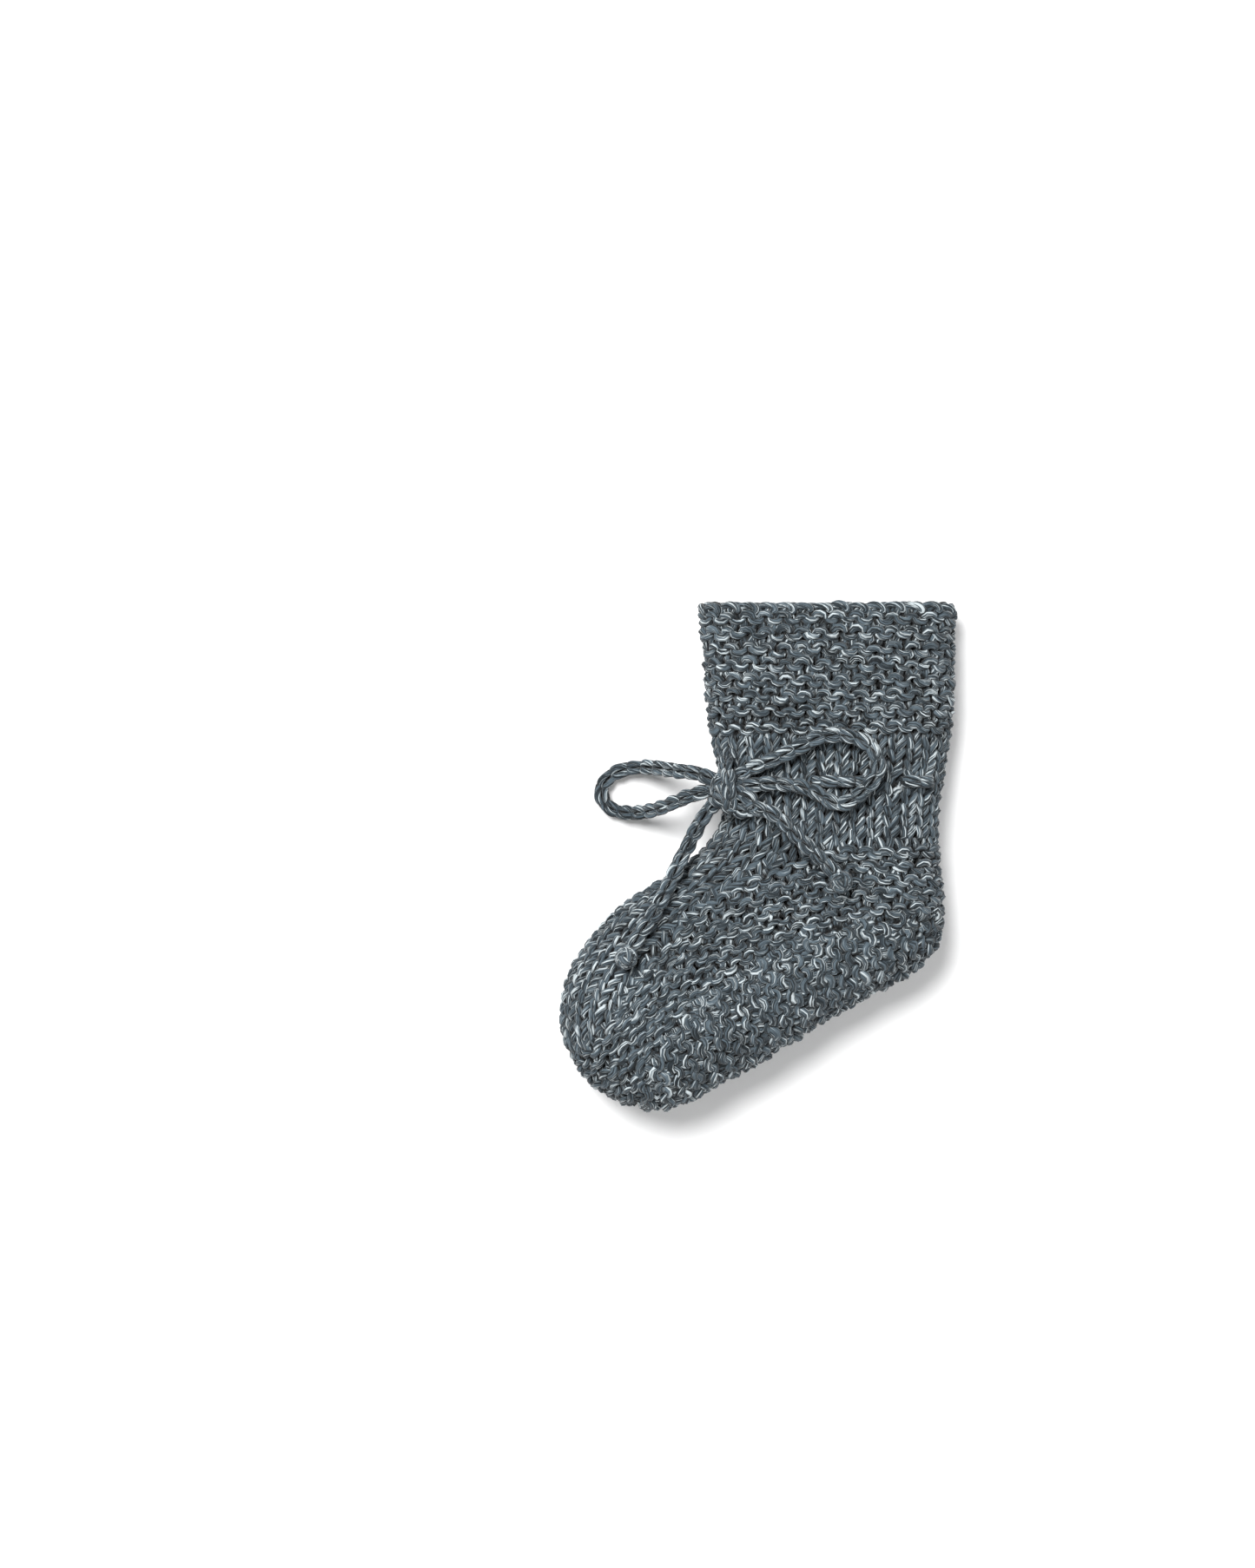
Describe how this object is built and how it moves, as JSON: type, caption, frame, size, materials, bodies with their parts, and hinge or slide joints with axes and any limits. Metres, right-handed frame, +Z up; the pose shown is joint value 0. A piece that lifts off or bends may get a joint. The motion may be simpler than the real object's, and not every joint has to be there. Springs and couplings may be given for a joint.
{
  "type": "baby bootie",
  "caption": "Hand-knitted baby bootie with a ridged cuff, smooth ankle band, soft sole and a crocheted drawstring tied in a bow, lying on its side.",
  "frame": {"origin": "on the surface that the bootie lies on, under the middle of its outline without the bow's loops and tails", "axes": "the bootie lies on its side: +Z up from the floor through its thickness, +Y from the foot along the leg to the mouth, heel at +X, toe at -X and -Y"},
  "size_m": [0.1018, 0.1285, 0.0339],
  "materials": {
    "knit_yarn": "soft matte marled knit",
    "tie_yarn": "soft matte marled crochet chain",
    "seam_yarn": "soft matte sewing yarn"
  },
  "bodies": {
    "bootie": {"cuff": "knit_yarn", "ankle_band": "knit_yarn", "instep_panel": "knit_yarn", "side_band": "knit_yarn", "sole": "knit_yarn", "back_seam": "seam_yarn", "drawstring": "tie_yarn", "bow_knot": "tie_yarn"},
    "loop_left": {"bow_loop_left": "tie_yarn"},
    "loop_right": {"bow_loop_right": "tie_yarn"},
    "tail_left": {"tie_tail_left": "tie_yarn", "tail_knot_left": "tie_yarn"},
    "tail_right": {"tie_tail_right": "tie_yarn", "tail_knot_right": "tie_yarn"}
  },
  "joints": [
    {"name": "loop_left_lift", "type": "hinge", "parent": "bootie", "child": "loop_left", "pos_m": [-0.0082, 0.0182, 0.021], "axis": [0, 1, 0], "range_deg": [0, 60]},
    {"name": "loop_right_lift", "type": "hinge", "parent": "bootie", "child": "loop_right", "pos_m": [-0.0082, 0.0182, 0.021], "axis": [0.2, -0.9798, 0], "range_deg": [0, 60]},
    {"name": "tail_left_lift", "type": "hinge", "parent": "bootie", "child": "tail_left", "pos_m": [-0.0082, 0.0182, 0.021], "axis": [-0.853, 0.5219, 0], "range_deg": [0, 35]},
    {"name": "tail_right_lift", "type": "hinge", "parent": "bootie", "child": "tail_right", "pos_m": [-0.0034, 0.0136, 0.0238], "axis": [-0.6606, -0.7507, 0], "range_deg": [0, 40]}
  ]
}
